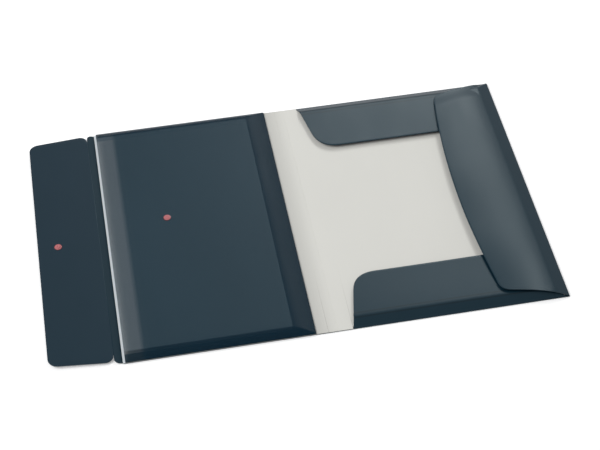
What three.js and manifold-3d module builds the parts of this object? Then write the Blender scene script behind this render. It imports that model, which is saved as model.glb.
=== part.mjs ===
// Three flap folder, open and lying flat: front cover with a pocket, spine, back cover with its three flaps.
// Millimetres, +Z up. The origin is on the table under the middle of the spine, and +X points to the back cover.
import * as THREE from "three";
import { mergeVertices } from "three/addons/utils/BufferGeometryUtils.js";
import Module from "manifold-3d";

const wasm = await Module();
wasm.setup();

// Sheet thicknesses
const shellThickness = 0.8;
const liningThickness = 0.4;
const panelThickness = 0.5;

// Covers, measured along the spine and across it
const coverHeight = 318;
const backCoverWidth = 223.6;
const spineWidth = 25;
const frontCoverWidth = 204.6;

// Gap across each fold that turns, and clearance between a cut sheet and its neighbour
const foldGap = 0.3;
const clearance = 0.3;

// Space for papers between the back lining and the flaps over it
const documentSpace = 4.2;

// Top and bottom flaps, folded over the papers with a second score near each fold
const topFlapDepth = 69;
const bottomFlapDepth = 65.5;
const endFlapScore = 10;
const endFlapSideGap = 17;
const endFlapRootGap = 2.5;
const endFlapMitreDepth = 12;
const endFlapSlant = 9;
const endFlapSlantLength = 45;
const endFlapCornerReach = 27;
const foldSink = 0.5;

// Side flap, folded over the other two with its free edge bowed and its face arched
const sideFlapWidth = 79.2;
const sideFlapScore = 14;
const sideFlapScoreRise = 5.4;
const sideFlapEdgeRise = 7.6;
const sideFlapCrownRise = 11.4;
const sideFlapCrownPlace = 41;
const sideFlapTaper = 11;
const sideFlapTaperLength = 50;
const sideFlapBow = 9.7;
const sideFlapCorner = 12;
const sideFlapEndGap = 0.4;
const sideFlapSteps = 14;

// Closure flap and the narrow gusset that carries it
const gussetWidth = 8.2;
const gussetLift = THREE.MathUtils.degToRad(16);
const gussetCorner = 5;
const gussetEndInset = 0.8;
const closureWidth = 64;
const closureLift = THREE.MathUtils.degToRad(1);
const closureFoldInset = 1.6;
const closureTaper = 5.5;
const closureCorner = 9;

// Pocket panel on the front cover, its mouth at the outer edge and a folded band on its other three sides
const pocketSpace = 5;
const pocketMouthInset = 2.5;
const pocketSpineInset = 12.5;
const pocketEndBand = 10;
const pocketSpineBand = 21.7;
const panelEdgeHeight = 0.4;

// Extra score in the spine, for a thinner filling
const spineScorePlace = 9;
const spineScoreWidth = 1;
const spineScoreDepth = 0.15;

// Press studs, each a cap and a riveted back plate
const studDiameter = 8;
const studRim = 0.5;
const studBossDiameter = 4.6;
const studBossHeight = 1;
const studDimpleDiameter = 2.2;
const studDimpleDepth = 0.35;
const studBackDiameter = 7;
const studBackThickness = 0.7;
const studShankDiameter = 2.4;
const studHoleClearance = 0.15;
const studSegments = 40;
const closureStudPlace = 43;
const pocketStudPlace = 65.6;
const pocketStudOffset = 17.2;

// Places worked out from the sizes above
const halfHeight = coverHeight / 2;
const backFoldX = spineWidth / 2;
const frontFoldX = -spineWidth / 2;
const backEdgeX = backFoldX + backCoverWidth;
const frontEdgeX = frontFoldX - frontCoverWidth;
const liningTop = shellThickness + liningThickness;
const flapUnderside = liningTop + documentSpace;
const panelUnderside = liningTop + pocketSpace;
const panelTop = panelUnderside + panelThickness;
const halfGap = foldGap / 2;

const shellColor = 0x2b3c46;
const liningColor = 0xd3d2cd;
const panelColor = 0x34444e;
const studColor = 0xdf6b62;
const shellLook = { color: shellColor, roughness: 0.55, metalness: 0 };
const liningLook = { color: liningColor, roughness: 0.6, metalness: 0 };
const panelLook = { color: panelColor, roughness: 0.42, metalness: 0 };
const studLook = { color: studColor, roughness: 0.35, metalness: 0 };

// Turns a closed geometry into a solid that can be joined and cut
function toSolid(geometry) {
  const bare = geometry.clone();
  bare.deleteAttribute("normal");
  bare.deleteAttribute("uv");
  const merged = mergeVertices(bare, 1e-4);
  return new wasm.Manifold(new wasm.Mesh({
    numProp: 3,
    vertProperties: merged.attributes.position.array,
    triVerts: new Uint32Array(merged.index.array),
  }));
}

// Turns a solid back into a geometry
function toGeometry(solid) {
  const mesh = solid.getMesh();
  const geometry = new THREE.BufferGeometry();
  geometry.setAttribute("position", new THREE.BufferAttribute(mesh.vertProperties, 3));
  geometry.setIndex(new THREE.BufferAttribute(mesh.triVerts, 1));
  const flat = geometry.toNonIndexed();
  flat.computeVertexNormals();
  return flat;
}

// An outline in plan, extruded from one height to another
function plate(outline, bottom, top) {
  const options = { depth: top - bottom, bevelEnabled: false, curveSegments: 10 };
  return toSolid(new THREE.ExtrudeGeometry(outline, options).translate(0, 0, bottom));
}

// A section drawn in Y and Z, extruded along X
function alongX(section, start, end) {
  const turn = new THREE.Matrix4().makeBasis(
    new THREE.Vector3(0, 1, 0),
    new THREE.Vector3(0, 0, 1),
    new THREE.Vector3(1, 0, 0),
  );
  const options = { depth: end - start, bevelEnabled: false };
  return toSolid(new THREE.ExtrudeGeometry(section, options).applyMatrix4(turn).translate(start, 0, 0));
}

// A section drawn in X and Z, extruded along Y
function alongY(section, start, end) {
  const turn = new THREE.Matrix4().makeBasis(
    new THREE.Vector3(1, 0, 0),
    new THREE.Vector3(0, 0, 1),
    new THREE.Vector3(0, -1, 0),
  );
  const options = { depth: end - start, bevelEnabled: false };
  return toSolid(new THREE.ExtrudeGeometry(section, options).applyMatrix4(turn).translate(0, end, 0));
}

// A closed outline through a list of points
function outlineOf(points) {
  return new THREE.Shape(points.map(([x, y]) => new THREE.Vector2(x, y)));
}

function rectangle(left, right, low, high) {
  return outlineOf([[left, low], [right, low], [right, high], [left, high]]);
}

// An outline whose corners are rounded by a radius of their own
function roundedOutline(corners) {
  const shape = new THREE.Shape();
  corners.forEach(([x, y, radius], i) => {
    const corner = new THREE.Vector2(x, y);
    const before = corners[(i + corners.length - 1) % corners.length];
    const after = corners[(i + 1) % corners.length];
    const back = new THREE.Vector2(before[0] - x, before[1] - y).normalize();
    const on = new THREE.Vector2(after[0] - x, after[1] - y).normalize();
    const half = Math.acos(back.dot(on)) / 2;
    const reach = radius / Math.tan(half);
    const start = corner.clone().addScaledVector(back, reach);
    const end = corner.clone().addScaledVector(on, reach);
    if (i === 0) shape.moveTo(start.x, start.y);
    else shape.lineTo(start.x, start.y);
    if (radius > 0) {
      const inward = back.clone().add(on).normalize();
      const centre = corner.clone().addScaledVector(inward, radius / Math.sin(half));
      const from = Math.atan2(start.y - centre.y, start.x - centre.x);
      const to = Math.atan2(end.y - centre.y, end.x - centre.x);
      shape.absarc(centre.x, centre.y, radius, from, to, back.cross(on) > 0);
    }
  });
  return shape;
}

// The section of a bent sheet whose underside follows a line of points, thickened to the right of the line
function sheetSection(line, thickness) {
  const points = line.map(([x, y]) => new THREE.Vector2(x, y));
  const normals = points.slice(1).map((point, i) => {
    const along = point.clone().sub(points[i]).normalize();
    return new THREE.Vector2(along.y, -along.x);
  });
  const outer = points.map((point, i) => {
    const first = normals[Math.max(i - 1, 0)];
    const second = normals[Math.min(i, normals.length - 1)];
    const mitre = first.clone().add(second).normalize();
    return point.clone().addScaledVector(mitre, thickness / mitre.dot(first));
  });
  return new THREE.Shape([...points, ...outer.reverse()]);
}

function mirroredInY(solid) {
  return solid.mirror([0, 1, 0]);
}

// Top or bottom flap, drawn at the top edge: a sloped band at the fold, then a flat part with a slanted side
function endFlap(depth) {
  const slope = (flapUnderside - shellThickness + foldSink) / endFlapScore;
  const root = halfHeight - foldSink;
  const section = sheetSection(
    [
      [halfHeight - depth, flapUnderside],
      [root - endFlapScore, flapUnderside],
      [root, flapUnderside - slope * endFlapScore],
    ].reverse(),
    shellThickness,
  );
  const left = backFoldX + halfGap;
  const right = backEdgeX - endFlapSideGap;
  const rootRight = backEdgeX - endFlapRootGap;
  const free = halfHeight - depth;
  const slantEnd = halfHeight - endFlapSlantLength;
  const meet = left + endFlapSlant * depth / endFlapSlantLength;
  const outline = new THREE.Shape();
  outline.moveTo(left, halfHeight);
  outline.lineTo(left + endFlapSlant, slantEnd);
  outline.quadraticCurveTo(meet, free, left + endFlapSlant + endFlapCornerReach, free);
  outline.lineTo(right, free);
  outline.lineTo(right, halfHeight - endFlapMitreDepth);
  outline.lineTo(rootRight, halfHeight);
  const trim = plate(outline, 0, flapUnderside + shellThickness);
  return alongX(section, left, rootRight).intersect(trim);
}

// Back cover with its top and bottom flaps, one folded sheet
function backCover() {
  const base = plate(rectangle(backFoldX + halfGap, backEdgeX, -halfHeight, halfHeight), 0, shellThickness);
  return base.add(endFlap(topFlapDepth)).add(mirroredInY(endFlap(bottomFlapDepth)));
}

// Light sheet inside the back cover, kept clear of the three folds
function backLining() {
  const endSlope = (flapUnderside - shellThickness + foldSink) / endFlapScore;
  const endInset = foldSink + (liningThickness + foldSink) / endSlope + clearance;
  const sideInset = liningThickness * sideFlapScore / sideFlapScoreRise + clearance;
  const outline = rectangle(
    backFoldX + halfGap,
    backEdgeX - sideInset,
    endInset - halfHeight,
    halfHeight - endInset,
  );
  return plate(outline, shellThickness, liningTop);
}

// Side flap: its section is a straight band at the fold and an arch, trimmed to a bowed outline
function sideFlap() {
  const band = new THREE.Vector2(-sideFlapScore, sideFlapScoreRise);
  const start = band.clone().normalize().multiplyScalar(shellThickness);
  const arch = new THREE.QuadraticBezierCurve(
    new THREE.Vector2(backEdgeX - sideFlapScore, shellThickness + sideFlapScoreRise),
    new THREE.Vector2(backEdgeX - sideFlapCrownPlace, shellThickness + sideFlapCrownRise),
    new THREE.Vector2(backEdgeX - sideFlapWidth, shellThickness + sideFlapEdgeRise),
  );
  const line = [
    [backEdgeX + start.x, shellThickness + start.y],
    ...arch.getPoints(sideFlapSteps).map((point) => [point.x, point.y]),
  ];
  const section = sheetSection(line, shellThickness);
  const free = backEdgeX - sideFlapWidth;
  const endY = halfHeight - sideFlapTaper;
  const tip = backEdgeX - sideFlapTaperLength;
  const bend = free + sideFlapBow;
  const slope = (sideFlapTaper - sideFlapEndGap) / sideFlapTaperLength;
  const cornerY = endY - slope * (tip - bend);
  const arcEnd = cornerY - sideFlapCorner;
  const root = backEdgeX + shellThickness;
  const outline = new THREE.Shape();
  outline.moveTo(root, sideFlapEndGap - halfHeight);
  outline.lineTo(root, halfHeight - sideFlapEndGap);
  outline.lineTo(tip, endY);
  outline.lineTo(bend + sideFlapCorner, cornerY + slope * sideFlapCorner);
  outline.quadraticCurveTo(bend, cornerY, bend, arcEnd);
  outline.quadraticCurveTo(2 * free - bend, 0, bend, -arcEnd);
  outline.quadraticCurveTo(bend, -cornerY, bend + sideFlapCorner, -cornerY - slope * sideFlapCorner);
  outline.lineTo(tip, -endY);
  const trim = plate(outline, 0, shellThickness + sideFlapCrownRise + shellThickness);
  return alongY(section, -halfHeight, halfHeight).intersect(trim);
}

// Spine lining with its extra score pressed into it
function spineLining() {
  const outline = rectangle(frontFoldX + halfGap, backFoldX - halfGap, -halfHeight, halfHeight);
  const scoreX = frontFoldX + spineScorePlace;
  const groove = rectangle(scoreX, scoreX + spineScoreWidth, -coverHeight, coverHeight);
  const cut = plate(groove, liningTop - spineScoreDepth, liningTop + shellThickness);
  return plate(outline, shellThickness, liningTop).subtract(cut);
}

// A plain sheet over the full height of the covers
function coverSheet(left, right, bottom, top) {
  return plate(rectangle(left + halfGap, right - halfGap, -halfHeight, halfHeight), bottom, top);
}

// Folded pocket panel: a low hipped shell open at its mouth, over three flat bands glued to the lining
function pocketPanel() {
  const left = frontEdgeX + pocketMouthInset;
  const right = frontFoldX - pocketSpineInset;
  const edgeTop = liningTop + panelThickness + panelEdgeHeight;
  const hip = (grow, top, edge) => {
    const ends = [
      [grow - halfHeight, liningTop + grow],
      [halfHeight - grow, liningTop + grow],
      [halfHeight - grow, edge],
      [halfHeight - pocketEndBand, top],
      [pocketEndBand - halfHeight, top],
      [grow - halfHeight, edge],
    ];
    const sides = [
      [left - grow, liningTop + grow],
      [right - grow, liningTop + grow],
      [right - grow, edge],
      [right - pocketSpineBand, top],
      [left - grow, top],
    ];
    const across = alongX(outlineOf(ends), left - grow, right);
    return across.intersect(alongY(outlineOf(sides), -halfHeight, halfHeight));
  };
  const outer = hip(0, panelTop, edgeTop);
  const inner = hip(panelThickness, panelUnderside, edgeTop - panelThickness / 2);
  const floor = rectangle(
    left - panelThickness,
    right - pocketSpineBand,
    pocketEndBand - halfHeight,
    halfHeight - pocketEndBand,
  );
  const stud = studHole(frontEdgeX + pocketStudPlace, pocketStudOffset, panelUnderside, panelTop);
  return outer.subtract(inner).subtract(plate(floor, 0, panelUnderside)).subtract(stud);
}

// Hole for a stud's shank through a sheet
function studHole(x, y, bottom, top) {
  const radius = studShankDiameter / 2 + studHoleClearance;
  const shape = new THREE.Shape().absarc(x, y, radius, 0, 2 * Math.PI, false);
  return plate(shape, bottom - shellThickness, top + shellThickness);
}

// Gusset, modelled flat with its fold to the front cover at the origin
function gusset() {
  const end = halfHeight - gussetEndInset;
  const outline = roundedOutline([
    [-halfGap, -end, 0],
    [-halfGap, end, 0],
    [halfGap - gussetWidth, end, gussetCorner],
    [halfGap - gussetWidth, -end, gussetCorner],
  ]);
  return plate(outline, -shellThickness, 0);
}

// Closure flap, modelled flat with its fold to the gusset at the origin
function closureFlap() {
  const wide = halfHeight - closureFoldInset;
  const narrow = wide - closureTaper;
  const outline = roundedOutline([
    [-halfGap, -wide, closureCorner],
    [-halfGap, wide, closureCorner],
    [-closureWidth, narrow, closureCorner],
    [-closureWidth, -narrow, closureCorner],
  ]);
  return plate(outline, -shellThickness, 0).subtract(studHole(-closureStudPlace, 0, -shellThickness, 0));
}

// Stud cap: a bevelled rim, a rounded boss with a dimple, and the shank below it
function studCap(sheet) {
  const rim = studDiameter / 2;
  const boss = studBossDiameter / 2;
  const dimple = studDimpleDiameter / 2;
  const shank = studShankDiameter / 2;
  const bevel = studRim / 2;
  const profile = [
    [0, -sheet],
    [shank, -sheet],
    [shank, 0],
    [rim, 0],
    [rim, bevel],
    [rim - bevel, studRim],
    [boss + bevel, studRim],
    [boss, studRim + bevel],
    [boss - bevel / 2, studBossHeight],
    [dimple, studBossHeight],
    [dimple - bevel, studBossHeight - studDimpleDepth],
    [0, studBossHeight - studDimpleDepth],
  ];
  return turned(profile);
}

// Stud back plate, a bevelled disc under the sheet
function studBack() {
  const radius = studBackDiameter / 2;
  const bevel = studBackThickness / 3;
  const profile = [
    [0, -studBackThickness],
    [radius - bevel, -studBackThickness],
    [radius, bevel - studBackThickness],
    [radius, 0],
    [0, 0],
  ];
  return turned(profile);
}

function turned(profile) {
  const points = profile.map(([x, y]) => new THREE.Vector2(x, y));
  return new THREE.LatheGeometry(points, studSegments).rotateX(Math.PI / 2);
}

const folder = new THREE.Group();

function addPiece(parent, name, geometry, look, place = [0, 0, 0]) {
  const mesh = new THREE.Mesh(geometry, new THREE.MeshStandardMaterial(look));
  mesh.name = name;
  mesh.position.set(...place);
  parent.add(mesh);
}

// Back cover, its lining and the side flap
addPiece(folder, "back_cover", toGeometry(backCover()), shellLook);
addPiece(folder, "back_lining", toGeometry(backLining()), liningLook);
addPiece(folder, "side_flap", toGeometry(sideFlap()), shellLook);

// Spine
addPiece(folder, "spine", toGeometry(coverSheet(frontFoldX, backFoldX, 0, shellThickness)), shellLook);
addPiece(folder, "spine_lining", toGeometry(spineLining()), liningLook);

// Front cover, its lining and the pocket
const frontShell = coverSheet(frontEdgeX, frontFoldX, 0, shellThickness);
const frontLight = coverSheet(frontEdgeX, frontFoldX, shellThickness, liningTop);
addPiece(folder, "front_cover", toGeometry(frontShell), shellLook);
addPiece(folder, "front_lining", toGeometry(frontLight), liningLook);
addPiece(folder, "pocket_panel", toGeometry(pocketPanel()), panelLook);
const pocketStudX = frontEdgeX + pocketStudPlace;
const pocketStudY = pocketStudOffset;
addPiece(folder, "pocket_stud_cap", studCap(panelThickness), studLook, [pocketStudX, pocketStudY, panelTop]);
addPiece(folder, "pocket_stud_back", studBack(), studLook, [pocketStudX, pocketStudY, panelUnderside]);

// Gusset and closure flap, each in a group turned about its own fold
const gussetGroup = new THREE.Group();
gussetGroup.position.set(frontEdgeX, 0, shellThickness);
gussetGroup.rotation.y = gussetLift;
folder.add(gussetGroup);
addPiece(gussetGroup, "closure_gusset", toGeometry(gusset()), shellLook);
const closureGroup = new THREE.Group();
closureGroup.position.set(-gussetWidth, 0, 0);
closureGroup.rotation.y = closureLift - gussetLift;
gussetGroup.add(closureGroup);
addPiece(closureGroup, "closure_flap", toGeometry(closureFlap()), shellLook);
addPiece(closureGroup, "closure_stud_cap", studCap(shellThickness), studLook, [-closureStudPlace, 0, 0]);
const closureBackPlace = [-closureStudPlace, 0, -shellThickness];
addPiece(closureGroup, "closure_stud_back", studBack(), studLook, closureBackPlace);

export default folder;
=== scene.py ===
import math
import bpy
import bmesh
from mathutils import Matrix, Vector


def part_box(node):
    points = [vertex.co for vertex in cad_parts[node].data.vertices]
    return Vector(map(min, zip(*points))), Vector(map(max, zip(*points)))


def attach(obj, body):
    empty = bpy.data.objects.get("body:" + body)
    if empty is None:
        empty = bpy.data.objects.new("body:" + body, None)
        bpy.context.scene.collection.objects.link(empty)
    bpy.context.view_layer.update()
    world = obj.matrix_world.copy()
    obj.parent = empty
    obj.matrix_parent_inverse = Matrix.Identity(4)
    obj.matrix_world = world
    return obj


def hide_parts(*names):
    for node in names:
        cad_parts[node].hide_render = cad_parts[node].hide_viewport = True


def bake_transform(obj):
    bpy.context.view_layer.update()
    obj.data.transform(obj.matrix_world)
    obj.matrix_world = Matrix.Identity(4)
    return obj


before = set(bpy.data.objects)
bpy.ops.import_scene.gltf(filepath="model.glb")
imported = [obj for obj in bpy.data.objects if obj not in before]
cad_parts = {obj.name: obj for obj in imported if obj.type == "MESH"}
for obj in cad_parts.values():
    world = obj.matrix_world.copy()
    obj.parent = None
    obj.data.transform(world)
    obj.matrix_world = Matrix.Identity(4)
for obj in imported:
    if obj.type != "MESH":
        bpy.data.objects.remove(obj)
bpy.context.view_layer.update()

# Sizes in metres, read from the frame
MM = 0.001
back_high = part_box("back_cover")[1]
front_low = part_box("front_cover")[0]
spine_low, spine_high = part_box("spine")
pocket_low, pocket_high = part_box("pocket_panel")
HALF = back_high.y
SHELL = spine_high.z
LINING_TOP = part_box("back_lining")[1].z
FOLD_GAP = 0.3 * MM
HALF_GAP = FOLD_GAP / 2
BACK_FOLD = spine_high.x + HALF_GAP
FRONT_FOLD = spine_low.x - HALF_GAP
BACK_EDGE = back_high.x
FRONT_EDGE = front_low.x - HALF_GAP

# Flaps over the papers
END_SCORE = 10 * MM
END_ROOT_INSET = 0.72 * MM
END_LEFT = BACK_FOLD + HALF_GAP
END_RIGHT = BACK_EDGE - 17 * MM
END_ROOT_RIGHT = BACK_EDGE - 2.5 * MM
END_MITRE_DEPTH = 12 * MM
END_SLANT = 9 * MM
END_SLANT_LENGTH = 45 * MM
END_CORNER_REACH = 27 * MM
TOP_DEPTH = 69 * MM
BOTTOM_DEPTH = 65.5 * MM
END_UNDERSIDE = back_high.z - SHELL
END_SAG = 0.5 * MM
END_SAG_TURN = 21
END_FOLD_SOFTNESS = 1.6 * MM
END_LEAST_DEPTH = 0.3 * MM
END_ROW_CROWDING = 1.25
TRIM = 0.02 * MM
SIDE_WIDTH = 79.2 * MM
SIDE_SCORE = 14 * MM
SIDE_SCORE_RISE = 5.4 * MM
SIDE_CROWN = 41 * MM
SIDE_CROWN_RISE = 11.4 * MM
SIDE_EDGE_RISE = 7.6 * MM
SIDE_TAPER = 11 * MM
SIDE_TAPER_LENGTH = 50 * MM
SIDE_BOW = 9.7 * MM
SIDE_CORNER = 12 * MM
SIDE_END_GAP = 0.4 * MM
SIDE_ROOT_GAP = 0.75 * MM
SIDE_CURL = 1.8 * MM
SIDE_CURL_LENGTH = 22 * MM
SIDE_CURL_ROOT = 5 * MM
SIDE_DROOP = 1.1 * MM
SIDE_DROOP_START = 60 * MM
SIDE_DROOP_LENGTH = 90 * MM
SIDE_RIPPLE = 0.18 * MM
SIDE_RIPPLE_TURN = 55
SIDE_SAG = 0.2 * MM
SIDE_CLEARANCE = 0.3 * MM

# Closure flap and gusset
GUSSET_WIDTH = 8.2 * MM
GUSSET_LIFT = math.radians(16)
GUSSET_CORNER = 5 * MM
GUSSET_INSET = 0.8 * MM
CLOSURE_WIDTH = 64 * MM
CLOSURE_LIFT = math.radians(1)
CLOSURE_INSET = 1.6 * MM
CLOSURE_TAPER = 5.5 * MM
CLOSURE_CORNER = 9 * MM

# Pocket
PANEL = 0.5 * MM
POCKET_END_BAND = 10 * MM
POCKET_SPINE_BAND = 21.7 * MM
EDGE_HEIGHT = 0.4 * MM
MOUTH_STRIP_START = 16 * MM
MOUTH_STRIP_END = 21 * MM
# Width over which the painted shade on the lining beside the pocket fades out
POCKET_SHADE_WIDTH = 22 * MM

# Press studs, as radius and height in millimetres
CLOSURE_STUD_PLACE = 43 * MM
# Radius beyond which the studs' rim faces get painted shade
STUD_RIM_SHADE_RADIUS = 3.4 * MM
STUD_ROUNDING = 0.22
STUD_SIDES = 56
STUD_CAP = [
    (1.2, 0), (4, 0), (4, 0.25), (3.75, 0.5), (2.55, 0.5), (2.3, 0.75), (2.2, 1), (1.1, 1),
    (0.85, 0.65), (0.02, 0.65),
]
STUD_BACK = [(0.02, -0.7), (3.3, -0.7), (3.5, -0.45), (3.5, 0), (1.2, 0)]

# Skins over the folds
FOLD_REACH = 0.9 * MM
LINING_CUT_BACK = 3.2 * MM
SIDE_FOLD_SKIN = 0.06 * MM
SIDE_FOLD_SECTION = [(-0.08, 0.05), (-0.1, 0.45), (-0.13, 0.85), (-0.4, 1.15), (-0.95, 1.42)]

# Painted shade for two faint pressed lines beside each end fold: place across their band, and shade
SCORE_BAND_START = 18 * MM
SCORE_BAND_END = 8 * MM
SCORE_SHADE_MARKS = [(0.14, 1), (0.26, 0.5), (0.38, 0.9), (0.7, 0.9), (0.8, 0.45), (0.92, 0.9)]

# Camera, in metres and as the directions of its own axes
CAMERA_LENS = 87.64
CAMERA_PLACE = (-0.193276, -1.016972, 1.158421)
CAMERA_ACROSS = (0.98336765, -0.18153916, -0.00562107)
CAMERA_UP = (0.13993882, 0.73757071, 0.66061076)
CAMERA_BACK = (-0.11578079, -0.65040986, 0.75070755)

# Surfaces, floor and world
SHEET_TINT = (0.84, 0.98, 1, 1)
SAND_DEPTH = 0.00004
STUD_GRAIN_DEPTH = 0.00003
SHELL_ROUGHNESS = 0.34
SHELL_SPECULAR = 0.22
EDGE_BEVEL = 0.12 * MM
FLOOR_HALF = 6
FLOOR_DROP = 0.4 * MM
FLOOR_GLOW_SPAN = (0.8, 3.5)
FLOOR_GLOW = (0.3, 0.9)
WORLD_SOFT_LIGHT = 0.26


def linear(red, green, blue):
    """Linear colour for an sRGB colour of 0 to 255."""
    def one(value):
        share = value / 255
        return share / 12.92 if share <= 0.04045 else ((share + 0.055) / 1.055) ** 2.4
    return (one(red), one(green), one(blue), 1)


SHELL_COLOUR = linear(15, 39, 51)


# Camera at the photograph's angle
def make_camera():
    data = bpy.data.cameras.new("camera")
    data.sensor_width = 36
    data.lens = CAMERA_LENS
    data.clip_end = 20
    camera = bpy.data.objects.new("camera", data)
    axes = Matrix((CAMERA_ACROSS, CAMERA_UP, CAMERA_BACK))
    camera.matrix_world = Matrix.Translation(CAMERA_PLACE) @ axes.transposed().to_4x4()
    bpy.context.scene.collection.objects.link(camera)
    bpy.context.scene.camera = camera


# Node material helpers
def new_material(name):
    material = bpy.data.materials.new(name)
    material.use_nodes = True
    tree = material.node_tree
    shader = tree.nodes["Principled BSDF"]
    place = tree.nodes.new("ShaderNodeTexCoord")
    return material, tree, shader, place


def noise(tree, place, scale, detail, stretch=(1, 1, 1)):
    mapping = tree.nodes.new("ShaderNodeMapping")
    mapping.inputs["Scale"].default_value = stretch
    tree.links.new(place.outputs["Object"], mapping.inputs["Vector"])
    texture = tree.nodes.new("ShaderNodeTexNoise")
    texture.inputs["Scale"].default_value = scale
    texture.inputs["Detail"].default_value = detail
    tree.links.new(mapping.outputs["Vector"], texture.inputs["Vector"])
    return texture.outputs["Fac"]


def ramp(tree, source, low, high, low_colour, high_colour):
    node = tree.nodes.new("ShaderNodeValToRGB")
    node.color_ramp.elements[0].position = low
    node.color_ramp.elements[1].position = high
    node.color_ramp.elements[0].color = low_colour
    node.color_ramp.elements[1].color = high_colour
    tree.links.new(source, node.inputs["Fac"])
    return node.outputs["Color"]


def grey(value):
    return (value, value, value, 1)


def scaled(colour, factor):
    return tuple(min(1, part * factor) for part in colour[:3]) + (1,)


def bump(tree, shader, source, strength, distance):
    node = tree.nodes.new("ShaderNodeBump")
    node.inputs["Strength"].default_value = strength
    node.inputs["Distance"].default_value = distance
    tree.links.new(source, node.inputs["Height"])
    tree.links.new(node.outputs["Normal"], shader.inputs["Normal"])


def sheet_material(name, colour, roughness, specular, grain, drift_share=0.035):
    """Moulded sheet plastic: slow colour drift, an uneven sheen and a fine sand grain."""
    material, tree, shader, place = new_material(name)
    drift = noise(tree, place, 14, 3, (1, 0.5, 1))
    duller = scaled(colour, 1 - drift_share)
    brighter = scaled(colour, 1 + drift_share)
    colours = ramp(tree, drift, 0.3, 0.7, duller, brighter)
    tree.links.new(colours, shader.inputs["Base Color"])
    rubbed = noise(tree, place, 60, 4, (1, 0.3, 1))
    sheen = ramp(tree, rubbed, 0.3, 0.75, grey(roughness - 0.02), grey(roughness + 0.025))
    tree.links.new(sheen, shader.inputs["Roughness"])
    shader.inputs["Specular IOR Level"].default_value = specular
    shader.inputs["Specular Tint"].default_value = SHEET_TINT
    bump(tree, shader, noise(tree, place, 2200, 2), grain, SAND_DEPTH)
    return material


def stud_material(name, colour):
    """Glossy coral plastic with faint moulding marks."""
    material, tree, shader, place = new_material(name)
    drift = noise(tree, place, 300, 2)
    colours = ramp(tree, drift, 0.3, 0.7, scaled(colour, 0.9), scaled(colour, 1.05))
    tree.links.new(colours, shader.inputs["Base Color"])
    shader.inputs["Roughness"].default_value = 0.3
    shader.inputs["Specular IOR Level"].default_value = 0.5
    bump(tree, shader, noise(tree, place, 1500, 2), 0.15, STUD_GRAIN_DEPTH)
    return material


def along_x(tree, place, low, high, low_colour, high_colour):
    """A colour that changes between two places across the folder, in metres."""
    split = tree.nodes.new("ShaderNodeSeparateXYZ")
    span = tree.nodes.new("ShaderNodeMapRange")
    span.inputs["From Min"].default_value = low
    span.inputs["From Max"].default_value = high
    tree.links.new(place.outputs["Object"], split.inputs["Vector"])
    tree.links.new(split.outputs["X"], span.inputs["Value"])
    return ramp(tree, span.outputs["Result"], 0, 1, low_colour, high_colour)


def tree_parts(material):
    """The material's node tree, its shader and its texture coordinates."""
    tree = material.node_tree
    place = next(node for node in tree.nodes if node.type == "TEX_COORD")
    return tree, tree.nodes["Principled BSDF"], place


def colour_share(colour, base):
    """What a base colour is multiplied by to give another colour."""
    return tuple(part / whole for part, whole in zip(colour[:3], base[:3])) + (1,)


def multiply_colour(tree, shader, factor):
    """Multiplies the shader's base colour by another colour."""
    mix = tree.nodes.new("ShaderNodeMix")
    mix.data_type = "RGBA"
    mix.blend_type = "MULTIPLY"
    mix.inputs["Factor"].default_value = 1
    sockets = {socket.identifier: socket for socket in mix.inputs}
    tree.links.new(shader.inputs["Base Color"].links[0].from_socket, sockets["A_Color"])
    tree.links.new(factor, sockets["B_Color"])
    result = next(socket for socket in mix.outputs if socket.identifier == "Result_Color")
    tree.links.new(result, shader.inputs["Base Color"])


def lining_material():
    """Pale sheet, brightest outside the pocket's mouth, with painted shade darkening it beside the
    pocket.
    """
    edge_colour = linear(240, 247, 251)
    material = sheet_material("lining_light", edge_colour, 0.6, 0.25, 0.3, drift_share=0.012)
    tree, shader, place = tree_parts(material)
    share = colour_share(linear(213, 212, 206), edge_colour)
    mouth = pocket_low.x
    multiply_colour(tree, shader, along_x(tree, place, mouth, mouth + 2 * MM, grey(1), share))
    # Painted shade: the lining is darkened beside the pocket's spine edge and fades out away from it
    pocket_shade_end = pocket_high.x + POCKET_SHADE_WIDTH
    pocket_shade = along_x(tree, place, pocket_high.x, pocket_shade_end, grey(0.76), grey(1))
    multiply_colour(tree, shader, pocket_shade)
    return material


def score_shade_material():
    """Shell sheet with painted shade for two faint pressed lines beside each end fold."""
    material = sheet_material("shell_score_shade", SHELL_COLOUR, SHELL_ROUGHNESS, SHELL_SPECULAR, 0.3)
    tree, shader, place = tree_parts(material)
    split = tree.nodes.new("ShaderNodeSeparateXYZ")
    tree.links.new(place.outputs["Object"], split.inputs["Vector"])
    away = tree.nodes.new("ShaderNodeMath")
    away.operation = "ABSOLUTE"
    tree.links.new(split.outputs["Y"], away.inputs[0])
    span = tree.nodes.new("ShaderNodeMapRange")
    span.inputs["From Min"].default_value = HALF - SCORE_BAND_START
    span.inputs["From Max"].default_value = HALF - SCORE_BAND_END
    tree.links.new(away.outputs[0], span.inputs["Value"])
    shade = tree.nodes.new("ShaderNodeValToRGB")
    stops = shade.color_ramp.elements
    stops.remove(stops[1])
    stops[0].color = grey(1)
    for position, value in SCORE_SHADE_MARKS:
        stops.new(position).color = grey(value)
    tree.links.new(span.outputs["Result"], shade.inputs["Fac"])
    # Painted shade: the pressed lines are darkened into the base colour
    multiply_colour(tree, shader, shade.outputs["Color"])
    return material


def pocket_material(name, colour, mouth_colour, specular):
    """Dark clear sheet that lets more light through along its mouth."""
    material = sheet_material(name, mouth_colour, 0.36, specular, 0.2)
    tree, shader, place = tree_parts(material)
    near = pocket_low.x + MOUTH_STRIP_START
    far = pocket_low.x + MOUTH_STRIP_END
    share = colour_share(colour, mouth_colour)
    multiply_colour(tree, shader, along_x(tree, place, near, far, grey(1), share))
    cover = along_x(tree, place, near, far, grey(0.55), grey(0.75))
    tree.links.new(cover, shader.inputs["Alpha"])
    return material


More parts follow.
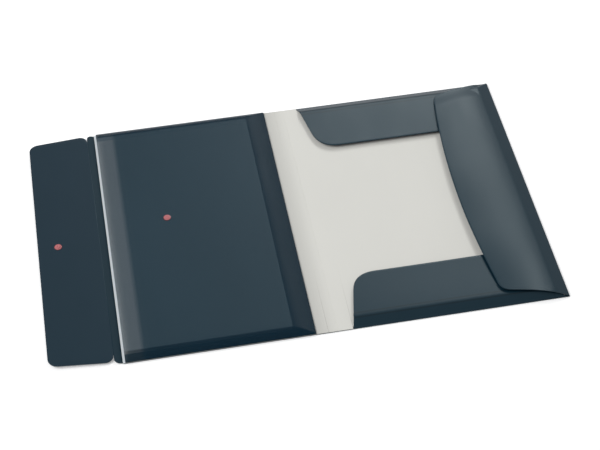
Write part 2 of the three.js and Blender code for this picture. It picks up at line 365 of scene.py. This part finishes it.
outside = sheet_material("shell_outside", SHELL_COLOUR, SHELL_ROUGHNESS, SHELL_SPECULAR, 0.3)
inside = sheet_material("shell_inside", linear(17, 37, 49), 0.4, 0.2, 0.25)
matt_gusset = sheet_material("shell_matt_gusset", linear(17, 39, 50), 0.5, 0.1, 0.3)
cut_edge = sheet_material("shell_cut_edge", linear(38, 53, 62), 0.45, 0.3, 0.2)
score_shaded = score_shade_material()
light = lining_material()
pocket_skin = pocket_material("pocket_translucent", linear(37, 58, 70), linear(74, 88, 98), 0.16)
pocket_double = pocket_material("pocket_double_layer", linear(16, 40, 54), linear(28, 48, 60), 0.08)
pocket_edge = sheet_material("pocket_cut_edge", linear(26, 42, 51), 0.4, 0.3, 0.2)
coral = stud_material("coral_stud", linear(172, 96, 100))
# Painted shade: a darker coral for the studs' outer rim, where the shadow at the rim falls
coral_rim_shade = stud_material("coral_stud_rim_shade", linear(120, 40, 42))


# Mesh helpers
def link(name, mesh, materials):
    piece = bpy.data.objects.new(name, mesh)
    bpy.context.scene.collection.objects.link(piece)
    for material in materials:
        mesh.materials.append(material)
    return piece


def add_sheet(mesh, rows, thickness, top_slot, under_slot, rim_slot):
    """Adds a closed sheet: its underside through the rows of points, thickened along the normals."""
    count = len(rows[0])
    under = [[Vector(point) for point in row] for row in rows]
    over = []
    for i, row in enumerate(under):
        line = []
        for j, point in enumerate(row):
            along = under[min(i + 1, len(under) - 1)][j] - under[max(i - 1, 0)][j]
            side = row[min(j + 1, count - 1)] - row[max(j - 1, 0)]
            normal = side.cross(along)
            if normal.length < 1e-14:
                normal = Vector((0, 0, 1))
            if normal.z < 0:
                normal.negate()
            line.append(point + normal.normalized() * thickness)
        over.append(line)
    low = [[mesh.verts.new(point) for point in row] for row in under]
    high = [[mesh.verts.new(point) for point in row] for row in over]
    made = []

    def face(a, b, c, d, slot, smooth=True):
        quad = mesh.faces.new((a, b, c, d))
        quad.material_index = slot
        quad.smooth = smooth
        made.append(quad)

    last = len(rows) - 1
    for i in range(last):
        for j in range(count - 1):
            face(high[i][j], high[i][j + 1], high[i + 1][j + 1], high[i + 1][j], top_slot)
            face(low[i][j], low[i + 1][j], low[i + 1][j + 1], low[i][j + 1], under_slot)
    for i in range(last):
        face(low[i][0], high[i][0], high[i + 1][0], low[i + 1][0], rim_slot)
        face(low[i + 1][-1], high[i + 1][-1], high[i][-1], low[i][-1], rim_slot)
    for j in range(count - 1):
        face(high[0][j], low[0][j], low[0][j + 1], high[0][j + 1], rim_slot)
        face(low[last][j], high[last][j], high[last][j + 1], low[last][j + 1], rim_slot)
    return made


def finish_mesh(name, mesh, materials, bevel=EDGE_BEVEL):
    bmesh.ops.recalc_face_normals(mesh, faces=mesh.faces)
    data = bpy.data.meshes.new(name)
    mesh.to_mesh(data)
    mesh.free()
    piece = link(name, data, materials)
    if bevel:
        round_off = piece.modifiers.new("rounded_edges", "BEVEL")
        round_off.width = bevel
        round_off.segments = 2
        round_off.limit_method = "ANGLE"
        round_off.angle_limit = math.radians(50)
        round_off.harden_normals = False
    return piece


def steps(low, high, count):
    return [low + (high - low) * i / count for i in range(count + 1)]


def smooth(value):
    share = min(1, max(0, value))
    return share * share * (3 - 2 * share)


def quadratic(start, control, end, share):
    rest = 1 - share
    return start * rest * rest + control * 2 * rest * share + end * share * share


def share_at(start, control, end, value):
    """Share along a rising curve at which it reaches a value, by halving."""
    low, high = 0.0, 1.0
    for _ in range(30):
        middle = (low + high) / 2
        if quadratic(start, control, end, middle) < value:
            low = middle
        else:
            high = middle
    return low


# Side flap: an arch across it, its corners a little lower than its middle
def side_underside(distance, y):
    """Height of the flap's underside: the arch, curled down at its ends onto the end flaps."""
    height = side_arch(distance, y)
    into = side_end(distance) - abs(y)
    most = SIDE_CURL if y > 0 else 0
    curl = most * (1 - smooth(into / SIDE_CURL_LENGTH)) * smooth(distance / SIDE_CURL_ROOT)
    x = BACK_EDGE - distance
    below = end_underside(max(END_ROOT_INSET, HALF - abs(y)), x, TOP_DEPTH) + SHELL + SIDE_CLEARANCE
    return max(height - curl, min(height, below))


def side_end(distance):
    """Half length of the flap at a distance from its fold."""
    slope = (SIDE_TAPER - SIDE_END_GAP) / SIDE_TAPER_LENGTH
    return HALF - SIDE_END_GAP - slope * distance


def side_arch(distance, y):
    """Height of the arch's underside, drooping to its ends, with a faint ripple along it."""
    if distance < SIDE_SCORE:
        height = SIDE_SCORE_RISE * distance / SIDE_SCORE
    else:
        start = Vector((SIDE_SCORE, SIDE_SCORE_RISE))
        crown = Vector((SIDE_CROWN, SIDE_CROWN_RISE))
        end = Vector((SIDE_WIDTH, SIDE_EDGE_RISE))
        a = start.x - 2 * crown.x + end.x
        b = 2 * (crown.x - start.x)
        c = start.x - distance
        root = math.sqrt(max(0, b * b - 4 * a * c))
        share = -2 * c / (b + root) if abs(b + root) > 1e-12 else 0
        height = quadratic(start.y, crown.y, end.y, min(1, share))
    reach = smooth((distance - SIDE_SCORE) / (SIDE_WIDTH - SIDE_SCORE))
    droop = SIDE_DROOP * reach * smooth((abs(y) - SIDE_DROOP_START) / SIDE_DROOP_LENGTH)
    ripple = SIDE_RIPPLE * reach * math.sin(y * SIDE_RIPPLE_TURN + 0.6)
    return SHELL + height - droop - SIDE_SAG * reach + ripple


def side_free_edge(y):
    """Distance from the fold to the flap's edge at a height along the folder."""
    away = abs(y)
    slope = (SIDE_TAPER - SIDE_END_GAP) / SIDE_TAPER_LENGTH
    bend = SIDE_WIDTH - SIDE_BOW
    corner_y = HALF - SIDE_TAPER - slope * (bend - SIDE_TAPER_LENGTH)
    arc_end = corner_y - SIDE_CORNER
    if away <= arc_end:
        return bend + SIDE_BOW * (1 - (away / arc_end) ** 2)
    corner_top = corner_y + slope * SIDE_CORNER
    if away < corner_top:
        share = share_at(arc_end, corner_y, corner_top, away)
        return quadratic(bend, bend, bend - SIDE_CORNER, share)
    return max(1.2 * MM, (HALF - SIDE_END_GAP - away) / slope)


def build_side_flap():
    mesh = bmesh.new()
    end = HALF - SIDE_END_GAP - 0.25 * MM
    middle = 128 * MM
    ys = steps(-end, -middle, 26)[:-1] + steps(-middle, middle, 60) + steps(middle, end, 26)[1:]
    rows = []
    for y in ys:
        free = side_free_edge(y)
        row = []
        for share in steps(0, 1, 44):
            distance = SIDE_ROOT_GAP + (free - SIDE_ROOT_GAP) * share
            row.append((BACK_EDGE - distance, y, side_underside(distance, y)))
        rows.append(row)
    add_sheet(mesh, rows, SHELL - TRIM, 0, 1, 2)
    piece = finish_mesh("side_flap_sheet", mesh, [outside, inside, cut_edge])
    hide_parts("side_flap")
    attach(piece, "side")


# Back cover with its end flaps
def end_underside(distance, x, depth):
    """Height of an end flap's underside at a distance in from the edge."""
    slope = (END_UNDERSIDE - SHELL + END_ROOT_INSET) / END_SCORE
    rise = min(distance - END_ROOT_INSET, END_SCORE) * slope
    near = distance - END_ROOT_INSET - END_SCORE
    soften = slope * max(0, END_FOLD_SOFTNESS - abs(near)) ** 2 / (4 * END_FOLD_SOFTNESS)
    share = smooth((distance - END_SCORE) / (depth - END_SCORE))
    sag = END_SAG * share * (0.5 + 0.5 * math.sin((x - END_LEFT) * END_SAG_TURN - 0.4))
    return SHELL - END_ROOT_INSET + rise - soften - sag


def end_free_edge(x, depth):
    """Depth of an end flap at a place along it."""
    along = x - END_LEFT
    meet = END_SLANT * depth / END_SLANT_LENGTH
    reach = END_SLANT + END_CORNER_REACH
    if along <= END_SLANT:
        return max(END_ROOT_INSET + END_LEAST_DEPTH, along * END_SLANT_LENGTH / END_SLANT)
    if along >= reach:
        return depth
    share = share_at(END_SLANT, meet, reach, along)
    return quadratic(END_SLANT_LENGTH, depth, depth, share)


def end_row(x, free, depth, side):
    """Points on an end flap's underside at one place along it, from its fold to its free edge."""
    row = []
    for share in steps(0, 1, 40):
        distance = END_ROOT_INSET + (free - END_ROOT_INSET) * share ** END_ROW_CROWDING
        row.append((x, side * (HALF - distance), end_underside(distance, x, depth)))
    return row


def add_end_flap(mesh, depth, side):
    bend = END_LEFT + END_SLANT + END_CORNER_REACH
    xs = steps(END_LEFT + 0.1 * MM, END_LEFT + END_SLANT, 18)[:-1]
    xs += steps(END_LEFT + END_SLANT, bend, 22)[:-1] + steps(bend, END_RIGHT, 60)
    rows = [end_row(x, end_free_edge(x, depth), depth, side) for x in xs]
    rows += mitre_rows(side, depth)
    add_sheet(mesh, rows, SHELL - TRIM, 0, 1, 2)


def mitre_rows(side, depth):
    """Rows for the corner of an end flap that runs on under the side flap."""
    rows = []
    for share in steps(0, 1, 10)[1:]:
        x = END_RIGHT + (END_ROOT_RIGHT - END_RIGHT) * share
        free = max(END_ROOT_INSET + END_LEAST_DEPTH, END_MITRE_DEPTH * (1 - share))
        rows.append(end_row(x, free, depth, side))
    return rows


def add_slab(mesh, low, high, top_slot, under_slot, rim_slot):
    """Adds a flat sheet between two corners."""
    rows = [[(x, y, low[2]) for x in steps(low[0], high[0], 2)] for y in steps(low[1], high[1], 2)]
    add_sheet(mesh, rows, high[2] - low[2], top_slot, under_slot, rim_slot)


def build_back():
    mesh = bmesh.new()
    add_slab(mesh, (END_LEFT, -HALF, 0), (BACK_EDGE, HALF, SHELL), 1, 0, 2)
    add_end_flap(mesh, TOP_DEPTH, 1)
    add_end_flap(mesh, BOTTOM_DEPTH, -1)
    piece = finish_mesh("back_shell", mesh, [score_shaded, inside, cut_edge])
    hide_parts("back_cover")
    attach(piece, "back")


# Closure flap and gusset, drawn flat and then turned about their folds
def rounded_width(y, half, corner):
    """How far a rounded corner eats into the width at a height along the folder."""
    into = abs(y) - (half - corner)
    if into <= 0:
        return 0
    return corner - math.sqrt(max(0, corner * corner - into * into))


def turn_about(x, z, angle):
    return Matrix.Translation((x, 0, z)) @ Matrix.Rotation(angle, 4, "Y")


def build_gusset():
    mesh = bmesh.new()
    half = HALF - GUSSET_INSET
    corner_rows = [half - GUSSET_CORNER * (1 - math.sin(a)) for a in steps(0, math.pi / 2, 10)]
    ys = [-y for y in reversed(corner_rows)] + corner_rows
    rows = []
    for y in ys:
        left = -GUSSET_WIDTH + HALF_GAP + rounded_width(y, half, GUSSET_CORNER)
        rows.append([(x, y, -SHELL) for x in steps(left, -HALF_GAP, 8)])
    add_sheet(mesh, rows, SHELL, 1, 0, 2)
    piece = finish_mesh("closure_gusset_sheet", mesh, [outside, matt_gusset, cut_edge])
    piece.data.transform(turn_about(FRONT_EDGE, SHELL, GUSSET_LIFT))
    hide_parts("closure_gusset")
    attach(piece, "gusset")


def closure_matrix():
    """Place of the closure flap: its fold at the gusset's outer edge."""
    x = FRONT_EDGE - GUSSET_WIDTH * math.cos(GUSSET_LIFT)
    z = SHELL + GUSSET_WIDTH * math.sin(GUSSET_LIFT)
    return turn_about(x, z, CLOSURE_LIFT)


def build_closure():
    mesh = bmesh.new()
    wide = HALF - CLOSURE_INSET
    narrow = wide - CLOSURE_TAPER
    edge = CLOSURE_CORNER
    xs = [-CLOSURE_WIDTH + edge * (1 - math.cos(a)) for a in steps(0, math.pi / 2, 12)]
    xs += steps(-CLOSURE_WIDTH + edge, -HALF_GAP - edge, 24)[1:-1]
    xs += [-HALF_GAP - edge * (1 - math.sin(a)) for a in steps(0, math.pi / 2, 12)]
    rows = []
    for x in xs:
        share = (x + HALF_GAP) / (-CLOSURE_WIDTH + HALF_GAP)
        half = wide + (narrow - wide) * share
        outer = max(0, edge - (x + CLOSURE_WIDTH))
        inner = max(0, edge - (-HALF_GAP - x))
        into = max(outer, inner)
        half -= edge - math.sqrt(max(0, edge * edge - into * into))
        rows.append([(x, y, -SHELL) for y in steps(-half, half, 60)])
    add_sheet(mesh, rows, SHELL, 1, 0, 2)
    piece = finish_mesh("closure_flap_sheet", mesh, [outside, inside, cut_edge])
    piece.data.transform(closure_matrix())
    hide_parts("closure_flap")
    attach(piece, "closure")


# Pocket panel: a low soft pillow over three folded bands
def panel_underside(x, y):
    """Height of the panel's underside, sloping down over the bands to its glued edges."""
    edge = LINING_TOP + PANEL + EDGE_HEIGHT - PANEL / 2
    top = pocket_high.z - PANEL
    from_end = (HALF - abs(y)) / POCKET_END_BAND
    from_spine = (pocket_high.x - x) / POCKET_SPINE_BAND
    inward = min(from_end, from_spine)
    rise = smooth(0.5 + 0.5 * min(1, inward)) * 2 - 1
    return edge + (top - edge) * max(0, rise)


def build_pocket():
    mesh = bmesh.new()
    left, right = pocket_low.x, pocket_high.x
    ends = steps(0, POCKET_END_BAND, 10)
    ys = [-HALF + d for d in ends]
    ys += steps(-HALF + POCKET_END_BAND, HALF - POCKET_END_BAND, 40)[1:-1]
    ys += [HALF - d for d in reversed(ends)]
    xs = steps(left, right - POCKET_SPINE_BAND, 40)[:-1]
    xs += steps(right - POCKET_SPINE_BAND, right, 22)
    rows = [[(x, y, panel_underside(x, y)) for x in xs] for y in ys]
    for face in add_sheet(mesh, rows, PANEL, 0, 0, 1):
        centre = face.calc_center_median()
        over_band = HALF - abs(centre.y) < POCKET_END_BAND or right - centre.x < POCKET_SPINE_BAND
        if over_band and face.material_index == 0:
            face.material_index = 2
    inner_x = right - POCKET_SPINE_BAND
    inner_y = HALF - POCKET_END_BAND
    add_band(mesh, [(left, HALF), (right, HALF)], [(left, inner_y), (inner_x, inner_y)])
    add_band(mesh, [(left, -HALF), (right, -HALF)], [(left, -inner_y), (inner_x, -inner_y)])
    add_band(mesh, [(right, -HALF), (right, HALF)], [(inner_x, -inner_y), (inner_x, inner_y)])
    piece = finish_mesh("pocket_panel_sheet", mesh, [pocket_skin, pocket_edge, pocket_double])
    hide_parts("pocket_panel")
    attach(piece, "front")


def add_band(mesh, outer, inner):
    """Flat folded-under band on the lining, its ends mitred."""
    rows = []
    for share in steps(0, 1, 24):
        first = Vector(outer[0]).lerp(Vector(outer[1]), share)
        second = Vector(inner[0]).lerp(Vector(inner[1]), share)
        rows.append([(*first.lerp(second, part), LINING_TOP) for part in steps(0, 1, 3)])
    add_sheet(mesh, rows, PANEL, 0, 0, 1)


# Press studs, turned finer than the solids
def turned(name, profile, place, replaced, body):
    """Turns a profile about Z and puts it in place, with painted shade darkening its outer rim."""
    mesh = bmesh.new()
    rings = []
    for radius, height in profile:
        ring = []
        for i in range(STUD_SIDES):
            angle = 2 * math.pi * i / STUD_SIDES
            ring.append(mesh.verts.new((radius * math.cos(angle), radius * math.sin(angle), height)))
        rings.append(ring)
    for step, (low, high) in enumerate(zip(rings, rings[1:])):
        in_rim_shade = min(profile[step][0], profile[step + 1][0]) > STUD_RIM_SHADE_RADIUS
        for i in range(STUD_SIDES):
            after = (i + 1) % STUD_SIDES
            side = mesh.faces.new((low[i], low[after], high[after], high[i]))
            side.smooth = True
            side.material_index = int(in_rim_shade)
    mesh.faces.new(rings[-1]).smooth = True
    mesh.faces.new(list(reversed(rings[0]))).smooth = True
    piece = finish_mesh(name, mesh, [coral, coral_rim_shade], bevel=0)
    piece.data.transform(place)
    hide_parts(replaced)
    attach(piece, body)


def rounded_profile(points):
    """Softens each inner corner of a turned profile with a short curve, in millimetres."""
    soft = [points[0]]
    for before, here, after in zip(points, points[1:], points[2:]):
        a = Vector(before)
        b = Vector(here)
        c = Vector(after)
        cut = min(STUD_ROUNDING, (a - b).length * 0.45, (c - b).length * 0.45)
        start = b + (a - b).normalized() * cut
        end = b + (c - b).normalized() * cut
        for share in steps(0, 1, 4):
            soft.append(tuple(quadratic(start, b, end, share)))
    soft.append(points[-1])
    return [(radius * MM, height * MM) for radius, height in soft]


def build_studs():
    cap_low, cap_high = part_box("pocket_stud_cap")
    x = (cap_low.x + cap_high.x) / 2
    y = (cap_low.y + cap_high.y) / 2
    top = Matrix.Translation((x, y, pocket_high.z))
    under = Matrix.Translation((x, y, pocket_high.z - PANEL))
    turned("pocket_stud_cap_fine", rounded_profile(STUD_CAP), top, "pocket_stud_cap", "front")
    turned("pocket_stud_back_fine", rounded_profile(STUD_BACK), under, "pocket_stud_back", "front")
    place = closure_matrix() @ Matrix.Translation((-CLOSURE_STUD_PLACE, 0, 0))
    back = place @ Matrix.Translation((0, 0, -SHELL))
    turned("closure_stud_cap_fine", rounded_profile(STUD_CAP), place, "closure_stud_cap", "closure")
    turned("closure_stud_back_fine", rounded_profile(STUD_BACK), back, "closure_stud_back", "closure")


# Scored folds: a thin skin inside the sheets on both sides of each gap
def fold_section(pivot, near_tilt, far_tilt, thickness):
    """Underside of a fold's skin, from its far sheet across the pivot to its near sheet."""
    points = []
    depth = thickness - TRIM
    for along in steps(-FOLD_REACH, FOLD_REACH, 12):
        tilt = near_tilt if along > 0 else far_tilt
        x = pivot[0] + along * math.cos(tilt) - depth * math.sin(tilt)
        points.append((x, pivot[1] - along * math.sin(tilt) - depth * math.cos(tilt)))
    return points


def build_fold(name, pivot, tilts, thickness, half, material):
    mesh = bmesh.new()
    section = fold_section(pivot, tilts[0], tilts[1], thickness)
    rows = [[(x, y, z) for x, z in section] for y in steps(-half, half, 4)]
    add_sheet(mesh, rows, thickness - 2 * TRIM, 0, 0, 0)
    piece = finish_mesh(name, mesh, [material], bevel=0)
    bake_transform(piece)


def build_folds():
    flat = (0, 0)
    full = HALF - 0.05 * MM
    lining = LINING_TOP - SHELL
    closure_fold = closure_matrix().translation
    build_fold("back_fold_shell", (BACK_FOLD, SHELL), flat, SHELL, full,
               outside)
    build_fold("front_fold_shell", (FRONT_FOLD, SHELL), flat, SHELL, full,
               outside)
    build_fold("back_fold_lining", (BACK_FOLD, LINING_TOP), flat, lining, HALF - LINING_CUT_BACK,
               light)
    build_fold("front_fold_lining", (FRONT_FOLD, LINING_TOP), flat, lining, full,
               light)
    build_fold("gusset_fold_shell", (FRONT_EDGE, SHELL), (0, GUSSET_LIFT), SHELL, HALF - 1 * MM,
               outside)
    pivot = (closure_fold.x, closure_fold.z)
    build_fold("closure_fold_shell", pivot, (GUSSET_LIFT, CLOSURE_LIFT), SHELL,
               HALF - CLOSURE_INSET - CLOSURE_CORNER, outside)


def build_side_fold():
    """Thin skin from the back cover's edge up to the root of the side flap."""
    mesh = bmesh.new()
    section = [(BACK_EDGE + x * MM, z * MM) for x, z in SIDE_FOLD_SECTION]
    half = HALF - 0.9 * MM
    rows = [[(x, y, z) for x, z in section] for y in steps(-half, half, 4)]
    add_sheet(mesh, rows, SIDE_FOLD_SKIN, 0, 0, 0)
    piece = finish_mesh("side_fold_shell", mesh, [outside], bevel=0)
    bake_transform(piece)


# Materials for the nodes whose own shape is right
def dress_nodes():
    for name in ("back_lining", "spine_lining", "front_lining"):
        dress(name, light)
    for name in ("spine", "front_cover"):
        dress(name, outside)


def dress(name, material):
    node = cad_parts[name]
    if not node.material_slots:
        node.data.materials.append(material)
    for slot in node.material_slots:
        slot.material = material


# Floor, world and lamps
def sees_backdrop(tree):
    """1 for the rays that should meet a white background: seen directly, mirrored or through glass."""
    path = tree.nodes.new("ShaderNodeLightPath")
    total = path.outputs["Is Camera Ray"]
    for name in ("Is Glossy Ray", "Is Transmission Ray"):
        larger = tree.nodes.new("ShaderNodeMath")
        larger.operation = "MAXIMUM"
        tree.links.new(total, larger.inputs[0])
        tree.links.new(path.outputs[name], larger.inputs[1])
        total = larger.outputs[0]
    return total


def build_stage():
    mesh = bmesh.new()
    corners = ((-1, -1), (1, -1), (1, 1), (-1, 1))
    points = [(x * FLOOR_HALF, y * FLOOR_HALF, -FLOOR_DROP) for x, y in corners]
    mesh.faces.new([mesh.verts.new(point) for point in points])
    floor_material, tree, shader, _ = new_material("pale_floor")
    shader.inputs["Base Color"].default_value = (0.86, 0.86, 0.86, 1)
    shader.inputs["Roughness"].default_value = 0.9
    shader.inputs["Specular IOR Level"].default_value = 0
    glow = tree.nodes.new("ShaderNodeEmission")
    place = tree.nodes.new("ShaderNodeTexCoord")
    away = tree.nodes.new("ShaderNodeVectorMath")
    away.operation = "LENGTH"
    span = tree.nodes.new("ShaderNodeMapRange")
    span.inputs["From Min"].default_value = FLOOR_GLOW_SPAN[0]
    span.inputs["From Max"].default_value = FLOOR_GLOW_SPAN[1]
    span.inputs["To Min"].default_value = FLOOR_GLOW[0]
    span.inputs["To Max"].default_value = FLOOR_GLOW[1]
    tree.links.new(place.outputs["Object"], away.inputs[0])
    tree.links.new(away.outputs["Value"], span.inputs["Value"])
    tree.links.new(span.outputs["Result"], glow.inputs["Strength"])
    both = tree.nodes.new("ShaderNodeAddShader")
    mix = tree.nodes.new("ShaderNodeMixShader")
    output = tree.nodes["Material Output"]
    tree.links.new(shader.outputs[0], both.inputs[0])
    tree.links.new(glow.outputs[0], both.inputs[1])
    tree.links.new(sees_backdrop(tree), mix.inputs[0])
    tree.links.new(shader.outputs[0], mix.inputs[1])
    tree.links.new(both.outputs[0], mix.inputs[2])
    tree.links.new(mix.outputs[0], output.inputs["Surface"])
    floor = finish_mesh("floor", mesh, [floor_material], bevel=0)


def build_world():
    world = bpy.data.worlds.new("studio")
    world.use_nodes = True
    bpy.context.scene.world = world
    tree = world.node_tree
    tree.nodes.clear()
    soft = tree.nodes.new("ShaderNodeBackground")
    soft.inputs["Color"].default_value = (0.97, 0.98, 1, 1)
    soft.inputs["Strength"].default_value = WORLD_SOFT_LIGHT
    white = tree.nodes.new("ShaderNodeBackground")
    white.inputs["Strength"].default_value = 1
    mix = tree.nodes.new("ShaderNodeMixShader")
    output = tree.nodes.new("ShaderNodeOutputWorld")
    tree.links.new(sees_backdrop(tree), mix.inputs[0])
    tree.links.new(soft.outputs[0], mix.inputs[1])
    tree.links.new(white.outputs[0], mix.inputs[2])
    tree.links.new(mix.outputs[0], output.inputs["Surface"])


def add_lamp(name, place, target, size, power):
    data = bpy.data.lights.new(name, "AREA")
    data.shape = "RECTANGLE"
    data.size, data.size_y = size
    data.energy = power
    lamp = bpy.data.objects.new(name, data)
    lamp.location = place
    aim = Vector(target) - Vector(place)
    lamp.rotation_euler = aim.to_track_quat("-Z", "Y").to_euler()
    bpy.context.scene.collection.objects.link(lamp)


def build_lamps():
    add_lamp("back_softbox", (0.785, 1.93, 1.64), (0.1, 0.05, 0), (1.0, 0.8), 19)
    add_lamp("right_strip", (1.16, 1.1, 1.75), (0.2, -0.05, 0), (0.3, 0.6), 7)
    add_lamp("left_key", (-1.7, -0.3, 1.9), (0, 0, 0), (1.8, 1.8), 50)


make_camera()
build_side_flap()
build_back()
build_gusset()
build_closure()
build_pocket()
build_studs()
build_folds()
build_side_fold()
dress_nodes()
build_stage()
build_world()
build_lamps()
view = bpy.context.scene.view_settings
view.view_transform = "Standard"
